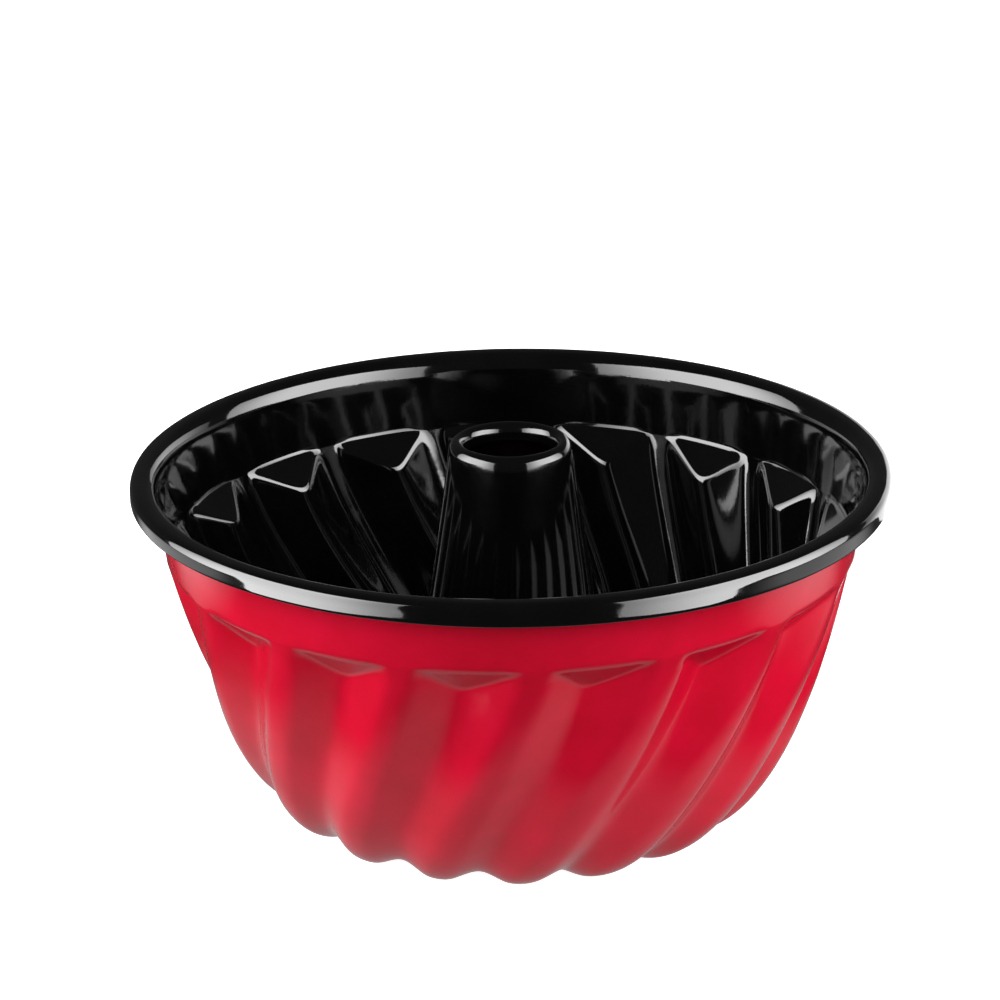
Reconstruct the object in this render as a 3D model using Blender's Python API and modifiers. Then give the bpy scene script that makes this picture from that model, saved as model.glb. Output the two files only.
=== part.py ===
"""A bundt pan of enamelled sheet steel, red outside and black inside.

The bowl is drawn from one sheet: a plain band under the rim, then swirled grooves that
run down the wall and under the floor. A conical chimney laps over a collar in the floor,
and the rim is rolled round a steel wire. Metres, +Z up. The origin is on the pan's axis,
on the surface that the pan rests on. An outline is a list of (radius, height) points.
"""

import math

import bpy

MM = 0.001
SHEET = 1.1 * MM  # steel with its enamel
GAP = 0.3 * MM  # left between pieces that touch

# Rolled rim
RIM_RADIUS = 110 * MM
RIM_HEIGHT = 101.7 * MM  # at the middle of the roll
BEAD_HALVES = (3.6 * MM, 3.75 * MM)  # from the roll's middle, out and up
BEAD_SQUARENESS = 4  # 2 is an ellipse
BEAD_END = math.radians(-120)
FLARE_PULLS = (3.5 * MM, 4 * MM)  # how gently the band turns out, and over the top
WIRE_RADIUS = 2.1 * MM

# Bowl, measured on the sheet's red side along a rib
BAND_TOP = (102.36 * MM, 97.2 * MM)  # the rim starts to turn out here
BAND_FOOT = (100.5 * MM, 82.3 * MM)
WALL_PULL = (89.0 * MM, 34.1 * MM)  # the curve's handle below the band
FLOOR_PULL_RADIUS = 78 * MM
PAD_RADII = (54.5 * MM, 49.5 * MM)  # where a rib's flat underside starts and ends
PAD_CUT = 0.5 * MM  # how far a rib's round underside is flattened

# Grooves pressed into the wall between the ribs
FLUTES = 17
FIRST_GROOVE = math.radians(9)
GROOVE_DEPTHS = (7.1 * MM, 4.1 * MM, 3.5 * MM)  # below the band, half-way down, at the floor
GROOVE_SHARPNESS = (0.93, 0.60)  # below the band, at the floor; 1 is a sharp zigzag
END_SLOPE = 0.61  # depth gained per length down the wall at a groove's upper end
END_ROUNDING = 1.3 * MM
RIB_FLAT = 0.07  # share of the depth that is left out at a rib, which rounds its back
SWIRL = (-0.20, -0.61, 0.35)  # radians of turn: share, share squared and share cubed

# Chimney, measured on its black side
LIP_RING_RADIUS = 15.45 * MM
LIP_HALVES = (2.45 * MM, 4.5 * MM)
LIP_HEIGHT = 108.1 * MM  # at the middle of its roll
LIP_START = math.radians(210)
LIP_END = math.radians(30)
CONE_TOP = (17.85 * MM, 109 * MM)
CHIMNEY_TAPER = math.radians(8)
CHIMNEY_FOOT = 14 * MM
COLLAR_FOOT = 11 * MM
COLLAR_TOP = 18 * MM

# Facets. A flute's columns are shares of the way from one groove to the next, and the
# middle three carry the rib's flat underside.
FLUTE_COLUMNS = (0, 0.18, 0.40, 0.50, 0.60, 0.82)
RING_COLUMNS = 64
CHIMNEY_COLUMNS = 40

ENAMEL_RED = (0.62, 0.008, 0.028)
ENAMEL_BLACK = (0.006, 0.006, 0.007)
WIRE_STEEL = (0.45, 0.45, 0.46)


def clear_scene():
    for item in list(bpy.data.objects):
        bpy.data.objects.remove(item)


def material(name, color, roughness, metallic=0.0, coat=0.0):
    made = bpy.data.materials.new(name)
    made.use_nodes = True
    shader = made.node_tree.nodes["Principled BSDF"]
    shader.inputs["Base Color"].default_value = (*color, 1.0)
    shader.inputs["Roughness"].default_value = roughness
    shader.inputs["Metallic"].default_value = metallic
    shader.inputs["Coat Weight"].default_value = coat
    return made


def bezier(controls, count):
    """count + 1 points along the cubic Bezier curve of four (radius, height) controls."""
    points = []
    for i in range(count + 1):
        t = i / count
        weights = ((1 - t) ** 3, 3 * (1 - t) ** 2 * t, 3 * (1 - t) * t**2, t**3)
        points.append(tuple(sum(w * c[axis] for w, c in zip(weights, controls)) for axis in (0, 1)))
    return points


def rolled(center, halves, squareness, start, end, count):
    """count + 1 points along a superellipse, between two angles."""
    points = []
    for i in range(count + 1):
        angle = start + (end - start) * i / count
        ray = (math.cos(angle), math.sin(angle))
        reach = sum(abs(ray[axis] / halves[axis]) ** squareness for axis in (0, 1)) ** (-1 / squareness)
        points.append((center[0] + reach * ray[0], center[1] + reach * ray[1]))
    return points


def chimney_radius(height):
    """The black side's radius on the straight cone below the lip."""
    return CONE_TOP[0] + (CONE_TOP[1] - height) * math.tan(CHIMNEY_TAPER)


def collar_radius(height):
    """The red side's radius of the bowl's collar, which fits inside the chimney's foot."""
    return chimney_radius(height) - 2 * SHEET - GAP


def bowl_outline():
    """The rib line: rim, band, wall, flat underside, the rise to the collar, collar."""
    pad_start, pad_end = ((radius, -PAD_CUT) for radius in PAD_RADII)
    curve = (BAND_FOOT, WALL_PULL, (FLOOR_PULL_RADIUS, -PAD_CUT), pad_start)
    groove_start = bezier(curve, 44)[2]
    wall = bezier(curve, 11)[1:]
    collar_foot = (collar_radius(COLLAR_FOOT), COLLAR_FOOT)
    rise_pulls = ((PAD_RADII[1] - 11 * MM, -PAD_CUT), (collar_radius(0), 3 * MM))
    rise = bezier((pad_end, *rise_pulls, collar_foot), 4)
    collar_top = (collar_radius(COLLAR_TOP), COLLAR_TOP)
    rim = (BAND_TOP[0], BAND_TOP[1] - GAP)
    return [rim, BAND_FOOT, groove_start, *wall, *rise, collar_top]


def rim_outline():
    """The black side of the rim: it turns out from the band and rolls over the wire."""
    run = math.dist(BAND_TOP, BAND_FOOT)
    along = ((BAND_TOP[0] - BAND_FOOT[0]) / run, (BAND_TOP[1] - BAND_FOOT[1]) / run)
    start = (BAND_TOP[0] - SHEET * along[1], BAND_TOP[1] + SHEET * along[0])
    pull = (start[0] + FLARE_PULLS[0] * along[0], start[1] + FLARE_PULLS[0] * along[1])
    center = (RIM_RADIUS - BEAD_HALVES[0], RIM_HEIGHT)
    roll = rolled(center, BEAD_HALVES, BEAD_SQUARENESS, math.pi / 2, BEAD_END, 7)
    flare = bezier((start, pull, (roll[0][0] - FLARE_PULLS[1], roll[0][1]), roll[0]), 5)
    return flare[:-1] + roll


def turned(name, outline, columns):
    """An open surface: the outline turned round Z."""
    mesh = bpy.data.meshes.new(name)
    edges = [(i, i + 1) for i in range(len(outline) - 1)]
    mesh.from_pydata([(radius, 0, height) for radius, height in outline], edges, [])
    item = bpy.data.objects.new(name, mesh)
    bpy.context.scene.collection.objects.link(item)
    screw = item.modifiers.new("turn", "SCREW")
    screw.steps = columns
    screw.render_steps = columns
    screw.use_merge_vertices = True
    screw.merge_threshold = 0.0001
    return item


def applied(item):
    """The same object with its modifiers made into its mesh."""
    graph = bpy.context.evaluated_depsgraph_get()
    mesh = bpy.data.meshes.new_from_object(item.evaluated_get(graph))
    item.modifiers.clear()
    item.data = mesh
    return item


def thicken(item):
    """Gives the surface the sheet's thickness, on its inner side."""
    solidify = item.modifiers.new("sheet", "SOLIDIFY")
    solidify.thickness = SHEET
    solidify.offset = -1
    solidify.use_even_offset = True


def finish(item, coat_material, collection):
    item.data.materials.append(coat_material)
    item.data.shade_smooth()
    item.data.set_sharp_from_angle(angle=math.radians(40))
    for old in list(item.users_collection):
        old.objects.unlink(item)
    collection.objects.link(item)


def arc_lengths(outline):
    """The length along the outline from the band's foot, negative above it."""
    lengths = [0.0]
    for before, after in zip(outline, outline[1:]):
        lengths.append(lengths[-1] + math.dist(before, after))
    start = lengths[outline.index(BAND_FOOT)]
    return [length - start for length in lengths]


def outward(outline, i):
    """The outline's unit normal, away from the food side, at its point i."""
    before, after = outline[max(i - 1, 0)], outline[min(i + 1, len(outline) - 1)]
    length = math.dist(before, after)
    return (before[1] - after[1]) / length, (after[0] - before[0]) / length


def groove_profile(phase, sharpness):
    """1 on a groove's line (phase 0), 0 on a rib's (phase 0.5)."""
    wave = math.asin(sharpness * math.cos(2 * math.pi * phase))
    return 0.5 + wave / (2 * math.asin(sharpness))


def smooth_least(a, b, width):
    blend = min(max(0.5 + 0.5 * (b - a) / width, 0), 1)
    return b * (1 - blend) + a * blend - width * blend * (1 - blend)


def groove_depth(length, phase, pad_length, collar_length):
    """How far the sheet is pressed in, at a length down the rib line and a phase across it."""
    down = min(length / pad_length, 1)
    top, middle, bottom = GROOVE_DEPTHS
    full = top * (1 - down) * (1 - 2 * down) + middle * 4 * down * (1 - down)
    full += bottom * down * (2 * down - 1)
    sharpness = GROOVE_SHARPNESS[0] + (GROOVE_SHARPNESS[1] - GROOVE_SHARPNESS[0]) * down
    pressed = full * (groove_profile(phase, sharpness) * (1 + RIB_FLAT) - RIB_FLAT)
    if length > pad_length:
        pressed *= max(1 - (length - pad_length) / (collar_length - pad_length), 0)
    return max(smooth_least(pressed, END_SLOPE * length, END_ROUNDING), 0)


def press_flutes(mesh, outline):
    """Turns each level of the bowl by the swirl and presses the grooves in."""
    lengths = arc_lengths(outline)
    pad_length = lengths[outline.index((PAD_RADII[0], -PAD_CUT))]
    collar_length = lengths[-2]
    for vertex in mesh.vertices:
        x, y, z = vertex.co
        row = min(range(len(outline)), key=lambda i: math.dist(outline[i], (math.hypot(x, y), z)))
        step = 2 * math.pi / (FLUTES * len(FLUTE_COLUMNS))
        flute, column = divmod(round(math.atan2(y, x) / step), len(FLUTE_COLUMNS))
        phase = FLUTE_COLUMNS[column]
        length = max(lengths[row], 0)
        depth = groove_depth(length, phase, pad_length, collar_length)
        normal = outward(outline, row)
        radius = outline[row][0] - depth * normal[0]
        height = max(outline[row][1] - depth * normal[1], 0)
        share = length / pad_length
        turn = sum(factor * share**power for power, factor in enumerate(SWIRL, 1))
        angle = FIRST_GROOVE + 2 * math.pi * (flute + phase) / FLUTES + turn
        vertex.co = (radius * math.cos(angle), radius * math.sin(angle), height)


def mould_body(collection, red):
    outline = bowl_outline()
    bowl = applied(turned("mould_body", outline, FLUTES * len(FLUTE_COLUMNS)))
    press_flutes(bowl.data, outline)
    thicken(bowl)
    finish(bowl, red, collection)


def centre_chimney(collection, black):
    lip = rolled((LIP_RING_RADIUS, LIP_HEIGHT), LIP_HALVES, 2, LIP_START, LIP_END, 6)
    middle = (LIP_HEIGHT + CHIMNEY_FOOT) / 2
    cone = [(chimney_radius(height), height) for height in (CONE_TOP[1], middle, CHIMNEY_FOOT)]
    chimney = turned("centre_chimney", lip + cone, CHIMNEY_COLUMNS)
    thicken(chimney)
    finish(chimney, black, collection)


def rim_bead(collection, black):
    bead = turned("rim_bead", rim_outline(), RING_COLUMNS)
    thicken(bead)
    finish(bead, black, collection)


def rim_wire(collection, steel):
    bpy.ops.mesh.primitive_torus_add(
        location=(0, 0, RIM_HEIGHT),
        major_radius=RIM_RADIUS - BEAD_HALVES[0],
        minor_radius=WIRE_RADIUS,
        major_segments=RING_COLUMNS,
        minor_segments=8,
    )
    wire = bpy.context.object
    wire.name = "rim_wire"
    finish(wire, steel, collection)


def main():
    clear_scene()
    pan = bpy.data.collections.new("bundt_pan")
    bpy.context.scene.collection.children.link(pan)
    red = material("enamel_red", ENAMEL_RED, 0.12, coat=1.0)
    black = material("enamel_black", ENAMEL_BLACK, 0.08, coat=1.0)
    steel = material("wire_steel", WIRE_STEEL, 0.35, metallic=1.0)
    mould_body(pan, red)
    centre_chimney(pan, black)
    rim_bead(pan, black)
    rim_wire(pan, steel)


main()
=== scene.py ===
"""Looks of an enamelled bundt pan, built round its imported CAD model.

The bowl is one sheet with two enamels, so it is made as two thin shells back to back: red
outside, black on the food side. Metres, +Z up, the CAD model's own frame. An outline is a
list of (radius, height) points, and a grid is an array of points: rows down, columns round.
"""

import math

import bpy
import numpy as np
from mathutils import Matrix, Vector


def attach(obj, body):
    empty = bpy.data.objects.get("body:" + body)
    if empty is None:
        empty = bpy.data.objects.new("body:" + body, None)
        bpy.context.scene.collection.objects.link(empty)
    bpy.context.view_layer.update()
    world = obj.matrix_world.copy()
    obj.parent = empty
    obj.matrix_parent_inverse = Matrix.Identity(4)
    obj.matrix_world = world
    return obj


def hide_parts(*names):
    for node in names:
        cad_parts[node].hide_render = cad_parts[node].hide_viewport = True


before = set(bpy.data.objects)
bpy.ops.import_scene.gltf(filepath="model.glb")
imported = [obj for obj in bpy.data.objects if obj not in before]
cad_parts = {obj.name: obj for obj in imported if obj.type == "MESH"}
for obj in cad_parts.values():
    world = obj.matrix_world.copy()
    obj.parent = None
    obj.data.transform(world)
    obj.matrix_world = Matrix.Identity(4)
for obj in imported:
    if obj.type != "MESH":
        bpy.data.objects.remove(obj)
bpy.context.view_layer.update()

MM = 0.001
SHEET = 1.1 * MM  # steel with its enamel
SEAM = 0.02 * MM  # left between the red and the black enamel, inside the sheet

# Rolled rim
RIM_RADIUS = 110 * MM
RIM_HEIGHT = 101.7 * MM  # at the middle of the roll
BEAD_HALVES = (3.6 * MM, 3.75 * MM)  # from the roll's middle, out and up
BEAD_SQUARENESS = (3, 7)  # above and below its middle; 2 is an ellipse
BEAD_CENTER = (RIM_RADIUS - BEAD_HALVES[0], RIM_HEIGHT)
BEAD_END = math.radians(-141)
FLARE_PULLS = (3.5 * MM, 4 * MM)  # how gently the band turns out, and over the top
SKIRT_DROP = (3.1 * MM, 1.2 * MM)  # how far the roll hangs, and the change toward +X and -X

# Bowl, measured on the sheet's red side along a rib
BAND_TOP = (102.36 * MM, 97.2 * MM)  # the rim starts to turn out here
BAND_FOOT = (100.5 * MM, 82.3 * MM)
WALL_PULL = (89.0 * MM, 34.1 * MM)  # the curve's handle below the band
FLOOR_PULL_RADIUS = 78 * MM
PAD_RADII = (54.5 * MM, 49.5 * MM)  # a rib's underside is lowest between them
PAD_CUT = 0.5 * MM  # how far a rib's round underside is flattened
PAD_ROUNDING = 0.4 * MM
RISE_PULLS = (11 * MM, 3 * MM)  # the curve to the collar: one handle's way in, one's height

# Grooves
FLUTES = 17
FIRST_GROOVE = math.radians(9)
GROOVE_DEPTHS = (7.1 * MM, 4.1 * MM, 3.5 * MM)  # below the band, half-way down, at the floor
GROOVE_SHARPNESS = (0.93, 0.60)  # below the band, at the floor; 1 is a sharp zigzag
END_SLOPE = 0.61  # depth gained per length down the wall at a groove's upper end
END_ROUNDING = 0.8 * MM
CORNER_ROUNDING = 3.8 * MM  # the same where the groove is still shallow
CORNER_DEPTH = 1.0 * MM
RIB_FLAT = 0.12  # share of the depth that is left out at a rib, which rounds its back
EDGE_ROUNDING = 1.1 * MM  # where a groove starts
SWIRL = (-0.20, -0.61, 0.35)  # radians, by the share of the way down, its square and its cube

# Chimney, measured on its black side
LIP_RING_RADIUS = 15.45 * MM
LIP_HALVES = (2.45 * MM, 3.5 * MM)
LIP_HEIGHT = 109.1 * MM  # at the middle of its roll
LIP_START = math.radians(210)
LIP_END = math.radians(22)
CONE_TOP = (17.85 * MM, 109 * MM)
CHIMNEY_TAPER = math.radians(8)
CHIMNEY_FOOT = 14 * MM
SEAM_FOOT = 7.2 * MM  # the black enamel runs over the lap down to here, inside the sheet
COLLAR_FOOT = 11 * MM
COLLAR_TOP = 18 * MM

# Black over the red above these heights: real enamel overspray under the rim, and painted shade
# over the chimney's red lining
OVERSPRAY_AND_SHADE_HEIGHTS = (99.5 * MM, 60 * MM)
OVERSPRAY_AND_SHADE_RAGGED = 0.5 * MM  # how far its edge wanders up and down
OVERSPRAY_AND_SHADE_FADE = 0.3 * MM
OVERSPRAY_AND_SHADE_LUMPS = 2.5 * MM
# The black of the overspray and of the painted shade in the chimney
OVERSPRAY_AND_SHADE_BLACK = (0.0015, 0.0006, 0.0006)

# Fineness
ROW_STEP = 1.0 * MM
FINE_STEP = 0.3 * MM  # round the grooves' upper ends
FINE_STRETCH = (2 * MM, 14 * MM)  # above and below the band's foot
FLUTE_COLUMNS = 42
RING_COLUMNS = 360
CURVE_COUNTS = {"roll_top": 30, "roll": 50, "flare": 40, "wall": 400, "rise": 200, "lip": 60}
RED_FLARE_POINTS = 12  # how many of the flare's the red side runs up to, under the roll
CONE_STEP = 2 * MM
SHARP_ANGLE = math.radians(50)

# Fired sheet is never quite smooth
WAVE_HEIGHT = 0.05 * MM
WAVE_SIZES = (9, 13, 17, 24, 31)  # mm
WAVES_PER_SIZE = 3
WAVE_SUM = 60  # mm, about how far their sum reaches
WAVE_SEED = 7

# Enamel and wire: their colours, and the range of the enamel's roughness
REDS = ((0.58, 0.003, 0.022), (0.66, 0.003, 0.03))
BLACKS = ((0.001, 0.001, 0.0012), (0.002, 0.002, 0.0022))
STEELS = ((0.22, 0.18, 0.15), (0.48, 0.47, 0.46))
OUTSIDE_ROUGHNESS = (0.04, 0.09)
LINING_ROUGHNESS = (0.06, 0.14)
INSIDE_ROUGHNESS = (0.05, 0.08)
CHIMNEY_ROUGHNESS = (0.07, 0.11)
COLOR_DRIFT = 14 * MM  # how large its patches of colour are
ROUGHNESS_DRIFT = 6 * MM
PEEL_SIZE = 1.6 * MM
PEEL_HEIGHT = 0.006 * MM
NOISE_RANGE = (0.3, 0.7)

# Studio
FLOOR_HALF = 6
FLOOR_GLOW = 0.95
POOL_HEIGHT = -0.5 * MM  # just under the floor, so the camera sees only the floor
WORLD_GREY = 0.06
SOFTBOX_DISTANCE = 1.1
SOFTBOX_LIFT = 0.1
SOFTBOX_EDGE = 0.35  # its brightness at a side, as a share of its middle's
SOFTBOX_FADE = 0.42  # how far in it is at full strength, as a share of its width
# Pools on the table: name, middle, inner radius, outer radius, strength
POOLS = (
    ("table_light", (0, 0), 0.11, 0.155, 0.38),
    ("right_table_light", (0.34, 0), 0.08, 0.18, 1.2),
    ("left_table_light", (-0.37, 0.09), 0.11, 0.19, 1.3),
)
# Panels: name, azimuth, half width, foot, top, strength. Shines are only seen in
# reflections, and fills only light the enamel's colour.
SHINES = (
    ("left_shine", -72, 41, -27, 40, 13.5),
    ("right_shine", 70, 40, -28, 37, 13),
    ("back_shine", 145, 25, -28, 15, 2.5),
)
FILLS = (
    ("left_fill", -88, 27, -6, 50, 7.5),
    ("right_fill", 78, 25, -6, 47, 7.3),
    ("front_fill", -8, 38, 9, 44, 4.2),
    ("back_fill", 180, 38, 9, 44, 3),
)

# View
CAMERA_DISTANCE = 0.99
CAMERA_HEIGHT = math.radians(19.91)
CAMERA_ROLL = math.radians(-0.85)
CAMERA_LENS = 122.9
CAMERA_SHIFT = (-0.0107, -0.0257)


def lerp(a, b, t):
    """The value a share t of the way from a to b."""
    return a + (b - a) * t


def bezier(controls, count):
    """count + 1 points along the cubic Bezier curve of four (radius, height) controls."""
    t = np.linspace(0, 1, count + 1)[:, None]
    weights = ((1 - t) ** 3, 3 * (1 - t) ** 2 * t, 3 * (1 - t) * t**2, t**3)
    return sum(w * np.array(c) for w, c in zip(weights, controls))


def rolled(center, halves, squareness, start, end, count):
    """Points along a superellipse, between two angles."""
    angles = np.linspace(start, end, count + 1)
    rays = np.stack([np.cos(angles), np.sin(angles)], 1)
    reach = (np.abs(rays / np.array(halves)) ** squareness).sum(1) ** (-1 / squareness)
    return np.array(center) + reach[:, None] * rays


def even(points, step):
    """The same line with its points a step apart."""
    lengths = np.concatenate([[0], np.cumsum(np.linalg.norm(np.diff(points, axis=0), axis=1))])
    at = np.linspace(0, lengths[-1], max(int(lengths[-1] / step), 2) + 1)
    return np.stack([np.interp(at, lengths, points[:, axis]) for axis in (0, 1)], 1)


def chimney_radius(height):
    """The black side's radius on the straight cone below the lip."""
    return CONE_TOP[0] + (CONE_TOP[1] - height) * math.tan(CHIMNEY_TAPER)


def offset_outline(outline, distance):
    """The line moved toward the side that its shell is on, or away from it."""
    tangent = np.gradient(outline, axis=0)
    tangent /= np.linalg.norm(tangent, axis=1, keepdims=True)
    return outline - distance * np.stack([-tangent[:, 1], tangent[:, 0]], 1)


def rim_outlines():
    """The rim's black side, and the red side of its part under the roll."""
    band = np.array(BAND_TOP) - np.array(BAND_FOOT)
    band /= np.linalg.norm(band)
    start = np.array(BAND_TOP) + SHEET * np.array([-band[1], band[0]])
    shape = (BEAD_CENTER, BEAD_HALVES)
    upper = rolled(*shape, BEAD_SQUARENESS[0], math.pi / 2, 0, CURVE_COUNTS["roll_top"])
    lower = rolled(*shape, BEAD_SQUARENESS[1], 0, BEAD_END, CURVE_COUNTS["roll"])
    turn = upper[0] - np.array([FLARE_PULLS[1], 0])
    flare = bezier((start, start + FLARE_PULLS[0] * band, turn, upper[0]), CURVE_COUNTS["flare"])
    red = offset_outline(flare, SHEET)[:RED_FLARE_POINTS]
    return np.concatenate([flare, upper[1:], lower[1:]]), red[::-1]


def bowl_outline():
    """The sheet's red side along a rib, with the lengths down it from the band's foot."""
    pad_start, pad_end = ((radius, -PAD_CUT) for radius in PAD_RADII)
    collar_foot = (chimney_radius(COLLAR_FOOT) - 2 * SHEET, COLLAR_FOOT)
    collar_top = (chimney_radius(COLLAR_TOP) - 2 * SHEET, COLLAR_TOP)
    band = np.concatenate([rim_outlines()[1], [BAND_FOOT]])
    wall_controls = (BAND_FOOT, WALL_PULL, (FLOOR_PULL_RADIUS, -PAD_CUT), pad_start)
    wall = bezier(wall_controls, CURVE_COUNTS["wall"])
    pad_pull = (PAD_RADII[1] - RISE_PULLS[0], -PAD_CUT)
    collar_pull = (chimney_radius(0) - 2 * SHEET, RISE_PULLS[1])
    rise = bezier((pad_end, pad_pull, collar_pull, collar_foot), CURVE_COUNTS["rise"])
    line = np.concatenate([band, wall[1:], rise, [collar_top]])
    along = np.concatenate([[0], np.cumsum(np.linalg.norm(np.diff(line, axis=0), axis=1))])
    foot, pad, collar = (along[i] for i in (len(band) - 1, len(band) + len(wall) - 2, -2))
    bounds = (0, foot - FINE_STRETCH[0], foot + FINE_STRETCH[1], along[-1])
    stretches = zip(bounds, bounds[1:], (ROW_STEP, FINE_STEP, ROW_STEP))
    at = [np.linspace(a, b, int((b - a) / step) + 1)[:-1] for a, b, step in stretches]
    at = np.concatenate([*at, [along[-1]]])
    outline = np.stack([np.interp(at, along, line[:, axis]) for axis in (0, 1)], 1)
    return outline, at - foot, pad - foot, collar - foot


def smooth_least(a, b, width):
    """The lesser of a and b, rounded where they are within width of each other."""
    blend = np.clip(0.5 + 0.5 * (b - a) / width, 0, 1)
    return b * (1 - blend) + a * blend - width * blend * (1 - blend)


def groove_depth(lengths, phases, pad_length, collar_length):
    """How far the sheet is pressed in, at lengths down the rib line and phases across it."""
    down = np.clip(lengths / pad_length, 0, 1)
    top, middle, bottom = GROOVE_DEPTHS
    full = top * (1 - down) * (1 - 2 * down) + middle * 4 * down * (1 - down)
    full = full + bottom * down * (2 * down - 1)
    sharpness = lerp(*GROOVE_SHARPNESS, down)
    wave = np.arcsin(sharpness * np.cos(2 * math.pi * phases))
    pressed = full * ((0.5 + wave / (2 * np.arcsin(sharpness))) * (1 + RIB_FLAT) - RIB_FLAT)
    fade = np.clip((lengths - pad_length) / (collar_length - pad_length), 0, 1)
    pressed = pressed * (1 - fade)
    end = END_SLOPE * lengths
    shallow = np.exp(-np.clip(np.minimum(pressed, end), 0, 1) / CORNER_DEPTH)
    depth = smooth_least(pressed, end, lerp(END_ROUNDING, CORNER_ROUNDING, shallow))
    return -smooth_least(-depth, 0 * depth, EDGE_ROUNDING)


def normals(points):
    """Unit normals of a grid that closes round its columns, away from the axis at the rim."""
    down = np.gradient(points, axis=0)
    around = np.roll(points, -1, axis=1) - np.roll(points, 1, axis=1)
    normal = np.cross(around, -down)
    return normal / np.linalg.norm(normal, axis=2, keepdims=True)


def waves(points):
    """How far each point lies below a smooth surface, from 0 to WAVE_HEIGHT."""
    random = np.random.default_rng(WAVE_SEED)
    total = 0
    for size in WAVE_SIZES:
        for _ in range(WAVES_PER_SIZE):
            direction = random.normal(size=3)
            direction *= 2 * math.pi / (size * MM * np.linalg.norm(direction))
            total = total + size * np.sin(points @ direction + random.uniform(0, 2 * math.pi))
    return WAVE_HEIGHT * (0.5 + 0.5 * np.tanh(total / WAVE_SUM))


def bowl_grid():
    """The sheet's red side, with its grooves pressed in, and its normals."""
    outline, lengths, pad_length, collar_length = bowl_outline()
    tangent = np.gradient(outline, axis=0)
    tangent /= np.linalg.norm(tangent, axis=1, keepdims=True)
    outward = np.stack([-tangent[:, 1], tangent[:, 0]], 1)[:, None]
    phases = np.arange(FLUTES * FLUTE_COLUMNS)[None] / FLUTE_COLUMNS
    share = np.maximum(lengths, 0)[:, None] / pad_length
    turn = sum(factor * share**power for power, factor in enumerate(SWIRL, 1))
    angle = FIRST_GROOVE + 2 * math.pi * phases / FLUTES + turn
    depth = groove_depth(lengths[:, None], phases, pad_length, collar_length)
    ribs, levels = outline[:, :1], outline[:, 1:]
    smooth = np.stack([ribs * np.cos(angle), ribs * np.sin(angle), levels + 0 * angle], 2)
    depth = depth + waves(smooth)
    radius = ribs - depth * outward[..., 0]
    height = levels - depth * outward[..., 1]
    height = -smooth_least(-height, 0 * height, PAD_ROUNDING)
    points = np.stack([radius * np.cos(angle), radius * np.sin(angle), height + 0 * angle], 2)
    return points, normals(points)


def shell(name, outer, inner):
    """A closed shell between two grids of the same size, whose columns go all the way round."""
    rows, columns, _ = outer.shape
    vertices = np.concatenate([outer.reshape(-1, 3), inner.reshape(-1, 3)])
    starts = (np.arange(rows - 1) * columns)[:, None]
    here = np.arange(columns)
    after = (here + 1) % columns
    corners = (starts + here, starts + columns + here, starts + columns + after, starts + after)
    quads = np.stack(corners, 2).reshape(-1, 4)
    last = (rows - 1) * columns
    offset = rows * columns
    back = quads[:, ::-1] + offset
    top = np.stack([here, after, after + offset, here + offset], 1)
    foot = np.stack([here, here + offset, after + offset, after], 1) + last
    faces = np.concatenate([quads, back, top, foot])
    mesh = bpy.data.meshes.new(name)
    mesh.from_pydata(vertices.tolist(), [], faces.tolist())
    mesh.validate()
    item = bpy.data.objects.new(name, mesh)
    bpy.context.scene.collection.objects.link(item)
    mesh.shade_smooth()
    mesh.set_sharp_from_angle(angle=SHARP_ANGLE)
    return item


def ring_grid(outline):
    """The outline turned round Z."""
    angles = 2 * math.pi * np.arange(RING_COLUMNS) / RING_COLUMNS
    radius, height = outline[:, :1], outline[:, 1:]
    return np.stack([radius * np.cos(angles), radius * np.sin(angles), height + 0 * angles], 2)


def hang_skirt(grid):
    """The rim's roll with its lower half shortened where it hangs less."""
    x, y, z = np.moveaxis(grid, 2, 0)
    drop = SKIRT_DROP[0] + SKIRT_DROP[1] * x / np.hypot(x, y)
    share = np.clip(drop / BEAD_HALVES[1], 0, 1)
    hung = (np.hypot(x, y) > BEAD_CENTER[0]) & (z < RIM_HEIGHT)
    hung |= np.arange(len(grid))[:, None] > len(grid) / 2
    z = np.where(hung & (z < RIM_HEIGHT), RIM_HEIGHT + (z - RIM_HEIGHT) * share, z)
    return np.stack([x, y, z], 2)


def turned_shell(name, grid, near, far):
    """A closed shell between two distances inside a grid."""
    normal = normals(grid)
    below = waves(grid)[..., None]
    return shell(name, grid - normal * (near + below), grid - normal * (far + below))


def principled(name):
    """A new material, its nodes and links, and its Principled shader."""
    made = bpy.data.materials.new(name)
    made.use_nodes = True
    return made, made.node_tree.nodes, made.node_tree.links, made.node_tree.nodes["Principled BSDF"]


def noise(nodes, links, size, detail=2.0):
    """Noise in the piece's own space, whose lumps are about size across."""
    where = nodes.new("ShaderNodeTexCoord")
    made = nodes.new("ShaderNodeTexNoise")
    made.inputs["Scale"].default_value = 1 / size
    made.inputs["Detail"].default_value = detail
    links.new(where.outputs["Object"], made.inputs["Vector"])
    return made.outputs["Fac"]


def spread(nodes, links, source, low, high):
    """The noise's usual range stretched to run from low to high."""
    made = nodes.new("ShaderNodeMapRange")
    made.inputs["From Min"].default_value = NOISE_RANGE[0]
    made.inputs["From Max"].default_value = NOISE_RANGE[1]
    made.inputs["To Min"].default_value = low
    made.inputs["To Max"].default_value = high
    links.new(source, made.inputs["Value"])
    return made.outputs["Result"]


def blend(nodes, links, source, colors):
    """The noise's usual range as a change from one colour to the other."""
    made = nodes.new("ShaderNodeValToRGB")
    for element, place_at, color in zip(made.color_ramp.elements, NOISE_RANGE, colors):
        element.position = place_at
        element.color = (*color, 1)
    links.new(source, made.inputs["Fac"])
    return made.outputs["Color"]


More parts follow.
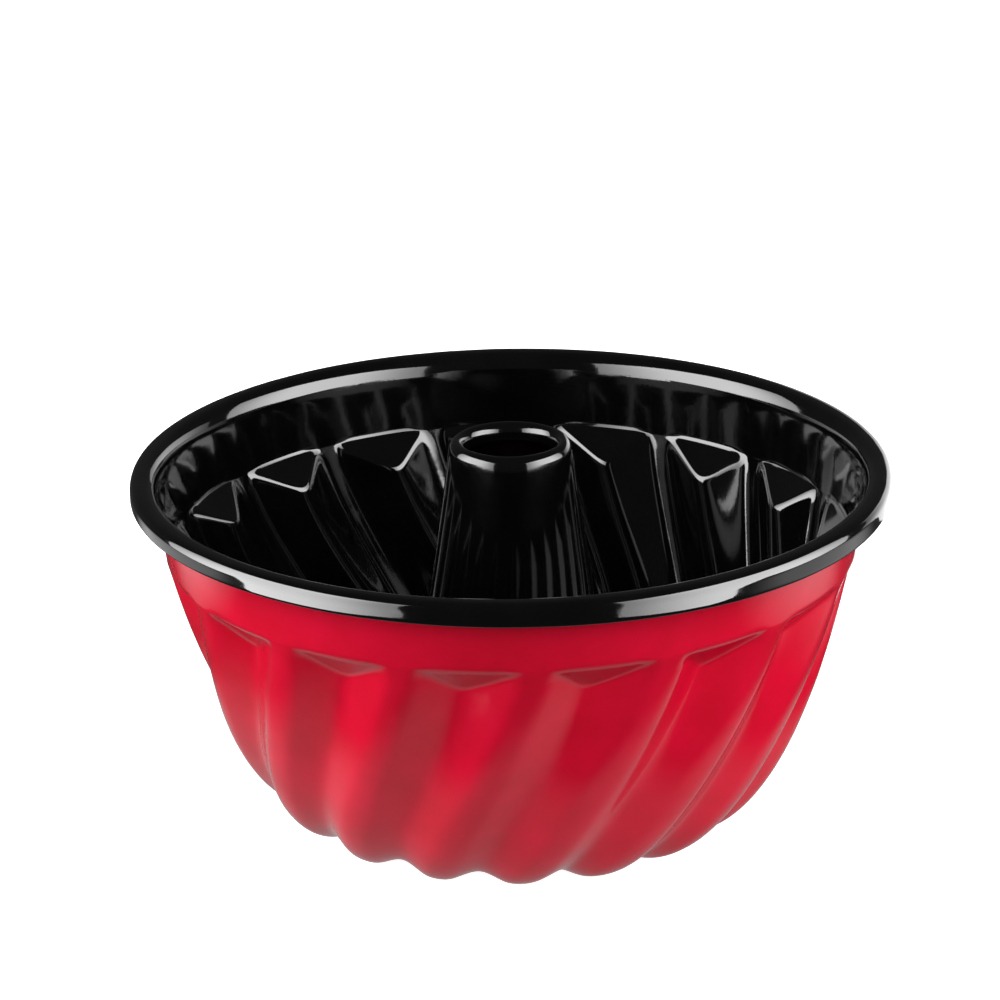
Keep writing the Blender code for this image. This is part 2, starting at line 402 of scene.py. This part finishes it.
def bump(nodes, links, source, height):
    """Relief that follows the noise, from 0 to a height."""
    made = nodes.new("ShaderNodeBump")
    made.inputs["Distance"].default_value = height
    links.new(source, made.inputs["Height"])
    return made.outputs["Normal"]


# Black over the red above a height: real overspray under the rim, painted shade inside the chimney
def overspray_and_painted_shade(nodes, links, color, height):
    """The colour, turning black above a height along a ragged line."""
    where = nodes.new("ShaderNodeTexCoord")
    split = nodes.new("ShaderNodeSeparateXYZ")
    ragged = nodes.new("ShaderNodeMath")
    ragged.operation = "ADD"
    cover = nodes.new("ShaderNodeMapRange")
    cover.inputs["From Min"].default_value = height
    cover.inputs["From Max"].default_value = height + OVERSPRAY_AND_SHADE_FADE
    mix = nodes.new("ShaderNodeMix")
    mix.data_type = "RGBA"
    mix.inputs["B"].default_value = (*OVERSPRAY_AND_SHADE_BLACK, 1)
    links.new(where.outputs["Object"], split.inputs[0])
    links.new(split.outputs["Z"], ragged.inputs[0])
    drift = noise(nodes, links, OVERSPRAY_AND_SHADE_LUMPS, 5)
    drift = spread(nodes, links, drift, -OVERSPRAY_AND_SHADE_RAGGED, OVERSPRAY_AND_SHADE_RAGGED)
    links.new(drift, ragged.inputs[1])
    links.new(ragged.outputs[0], cover.inputs["Value"])
    links.new(cover.outputs["Result"], mix.inputs["Factor"])
    links.new(color, mix.inputs["A"])
    return mix.outputs["Result"]


def enamel(name, colors, roughness, black_above=None):
    """Glassy fired enamel: its colour drifts with its thickness, and its skin is orange-peel."""
    made, nodes, links, shader = principled(name)
    shader.inputs["IOR"].default_value = 1.5
    color = blend(nodes, links, noise(nodes, links, COLOR_DRIFT, 4), colors)
    if black_above:
        color = overspray_and_painted_shade(nodes, links, color, black_above)
    links.new(color, shader.inputs["Base Color"])
    drift = spread(nodes, links, noise(nodes, links, ROUGHNESS_DRIFT, 3), *roughness)
    links.new(drift, shader.inputs["Roughness"])
    peel = bump(nodes, links, noise(nodes, links, PEEL_SIZE), PEEL_HEIGHT)
    links.new(peel, shader.inputs["Normal"])
    return made


def drawn_steel(name):
    """Bare wire with the drawing's faint streaks and some heat stain."""
    made, nodes, links, shader = principled(name)
    shader.inputs["Metallic"].default_value = 1
    stain = blend(nodes, links, noise(nodes, links, 5 * MM, 4), STEELS)
    links.new(stain, shader.inputs["Base Color"])
    streaks = spread(nodes, links, noise(nodes, links, 2 * MM), 0.3, 0.5)
    links.new(streaks, shader.inputs["Roughness"])
    grain = bump(nodes, links, noise(nodes, links, 0.6 * MM), 0.01 * MM)
    links.new(grain, shader.inputs["Normal"])
    return made


def place(item, material, slot, *replaced):
    """Gives the item its material, and puts it in place of the CAD nodes named."""
    item.data.materials.append(material)
    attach(item, "root")
    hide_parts(*replaced)


def make_camera():
    """The camera looks down at the middle of the rim from the front."""
    data = bpy.data.cameras.new("camera")
    data.lens = CAMERA_LENS
    data.sensor_width = 36
    data.shift_x, data.shift_y = CAMERA_SHIFT
    camera = bpy.data.objects.new("camera", data)
    bpy.context.scene.collection.objects.link(camera)
    target = Vector((0, 0, RIM_HEIGHT))
    back = Vector((0, -math.cos(CAMERA_HEIGHT), math.sin(CAMERA_HEIGHT)))
    turn = back.to_track_quat("Z", "Y").to_matrix().to_4x4()
    spot = Matrix.Translation(target + CAMERA_DISTANCE * back)
    camera.matrix_world = spot @ turn @ Matrix.Rotation(CAMERA_ROLL, 4, "Z")
    bpy.context.scene.camera = camera


def stage_mesh(name, corners, material, **seen_by):
    """A flat piece of the studio, hidden from the kinds of ray that seen_by turns off."""
    mesh = bpy.data.meshes.new(name)
    mesh.from_pydata(corners, [], [(0, 1, 2, 3)])
    mesh.materials.append(material)
    item = bpy.data.objects.new(name, mesh)
    bpy.context.scene.collection.objects.link(item)
    for ray, seen in seen_by.items():
        setattr(item, "visible_" + ray, seen)
    return item


def softbox(name, azimuth, half_width, foot, top, strength, **seen_by):
    """A bright panel that faces the pan, fading toward its sides.

    azimuth is from the camera's side, to the right; half_width, foot and top are angles too.
    """
    angles = (half_width, foot, top)
    width, low, high = (SOFTBOX_DISTANCE * math.tan(math.radians(angle)) for angle in angles)
    material = bpy.data.materials.new(name)
    material.use_nodes = True
    nodes, links = material.node_tree.nodes, material.node_tree.links
    nodes.clear()
    output = nodes.new("ShaderNodeOutputMaterial")
    glow = nodes.new("ShaderNodeEmission")
    where = nodes.new("ShaderNodeTexCoord")
    across = nodes.new("ShaderNodeSeparateXYZ")
    fall = nodes.new("ShaderNodeMath")
    fall.operation = "PINGPONG"
    fall.inputs[1].default_value = 0.5
    ramp = nodes.new("ShaderNodeMapRange")
    ramp.interpolation_type = "SMOOTHSTEP"
    ramp.inputs["From Max"].default_value = SOFTBOX_FADE
    ramp.inputs["To Min"].default_value = SOFTBOX_EDGE * strength
    ramp.inputs["To Max"].default_value = strength
    links.new(where.outputs["Generated"], across.inputs[0])
    links.new(across.outputs["X"], fall.inputs[0])
    links.new(fall.outputs[0], ramp.inputs["Value"])
    links.new(ramp.outputs[0], glow.inputs["Strength"])
    links.new(glow.outputs[0], output.inputs["Surface"])
    corners = [(-width, 0, low), (width, 0, low), (width, 0, high), (-width, 0, high)]
    panel = stage_mesh(name, corners, material, camera=False, **seen_by)
    azimuth = math.radians(azimuth)
    toward = Vector((math.sin(azimuth), -math.cos(azimuth), 0)) * SOFTBOX_DISTANCE
    spot = Matrix.Translation(toward + Vector((0, 0, SOFTBOX_LIFT)))
    panel.matrix_world = spot @ Matrix.Rotation(azimuth, 4, "Z")


def square(half, height, middle=(0, 0)):
    """The corners of a level square."""
    x, y = middle
    signs = ((-1, -1), (1, -1), (1, 1), (-1, 1))
    return [(x + across * half, y + back * half, height) for across, back in signs]


def pool(name, middle, inner, outer, strength):
    """A round pool of light on the table: full to the inner radius, gone at the outer."""
    made, nodes, links, shader = principled(name)
    where = nodes.new("ShaderNodeTexCoord")
    away = nodes.new("ShaderNodeVectorMath")
    away.operation = "DISTANCE"
    away.inputs[1].default_value = (*middle, POOL_HEIGHT)
    fall = nodes.new("ShaderNodeMapRange")
    fall.interpolation_type = "SMOOTHSTEP"
    fall.inputs["From Min"].default_value = outer
    fall.inputs["From Max"].default_value = inner
    fall.inputs["To Max"].default_value = strength
    shader.inputs["Base Color"].default_value = (0.05, 0.05, 0.05, 1)
    shader.inputs["Specular IOR Level"].default_value = 0
    shader.inputs["Emission Color"].default_value = (1, 1, 1, 1)
    links.new(where.outputs["Object"], away.inputs[0])
    links.new(away.outputs["Value"], fall.inputs["Value"])
    links.new(fall.outputs["Result"], shader.inputs["Emission Strength"])
    stage_mesh(name, square(outer, POOL_HEIGHT, middle), made, camera=False)


def make_floor():
    """A white floor that only the camera sees: the pools are what the pan reflects."""
    made, _, _, shader = principled("floor_white")
    shader.inputs["Base Color"].default_value = (0.8, 0.8, 0.8, 1)
    shader.inputs["Roughness"].default_value = 0.9
    shader.inputs["Specular IOR Level"].default_value = 0
    shader.inputs["Emission Color"].default_value = (1, 1, 1, 1)
    shader.inputs["Emission Strength"].default_value = FLOOR_GLOW
    hidden = {ray: False for ray in ("diffuse", "glossy", "transmission", "shadow")}
    stage_mesh("floor", square(FLOOR_HALF, 0), made, **hidden)


def make_stage():
    make_floor()
    for settings in POOLS:
        pool(*settings)
    world = bpy.data.worlds.new("studio")
    world.use_nodes = True
    background = world.node_tree.nodes["Background"]
    background.inputs["Color"].default_value = (WORLD_GREY, WORLD_GREY, WORLD_GREY, 1)
    bpy.context.scene.world = world
    bpy.context.scene.view_settings.view_transform = "Standard"
    for settings in SHINES:
        softbox(*settings, diffuse=False)
    for settings in FILLS:
        softbox(*settings, glossy=False)


def make_bowl():
    """One sheet with two enamels: two thin shells with a seam between them."""
    red = enamel("enamel_red", REDS, OUTSIDE_ROUGHNESS, OVERSPRAY_AND_SHADE_HEIGHTS[0])
    black = enamel("enamel_black", BLACKS, INSIDE_ROUGHNESS)
    points, normal = bowl_grid()
    outside = shell("bowl_outside", points, points - normal * (SHEET / 2 - SEAM))
    place(outside, red, "enamel_red", "mould_body")
    inside = shell("bowl_inside", points - normal * (SHEET / 2 + SEAM), points - normal * SHEET)
    place(inside, black, "enamel_black", "mould_body")
    bead = ring_grid(rim_outlines()[0])
    bead = turned_shell("rim_roll", hang_skirt(bead), 0, SHEET / 2 - SEAM)
    place(bead, black, "enamel_black", "rim_bead")


def chimney_grid(foot):
    """The chimney's black side, from its lip down to a height."""
    shape = ((LIP_RING_RADIUS, LIP_HEIGHT), LIP_HALVES)
    lip = rolled(*shape, 2, LIP_START, LIP_END, CURVE_COUNTS["lip"])
    cone = even(np.array([lip[-1], (chimney_radius(foot), foot)]), CONE_STEP)
    return ring_grid(np.concatenate([lip, cone[1:]]))


def make_chimney():
    """The same sheet again: black outside, red inside."""
    black = enamel("chimney_black", BLACKS, CHIMNEY_ROUGHNESS)
    chimney = turned_shell("chimney_outside", chimney_grid(SEAM_FOOT), 0, SHEET / 2 - SEAM)
    place(chimney, black, "enamel_black", "centre_chimney")
    # Painted shade: the lining's red is painted black above 60 mm, where the inside of the chimney
    # is dark
    red = enamel("lining_red", REDS, LINING_ROUGHNESS, OVERSPRAY_AND_SHADE_HEIGHTS[1])
    lining = turned_shell("chimney_inside", chimney_grid(CHIMNEY_FOOT), SHEET / 2 + SEAM, SHEET)
    place(lining, red, "enamel_red", "centre_chimney")


def main():
    make_bowl()
    make_chimney()
    steel = drawn_steel("wire_steel")
    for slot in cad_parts["rim_wire"].material_slots:
        slot.material = steel
    make_camera()
    make_stage()


main()
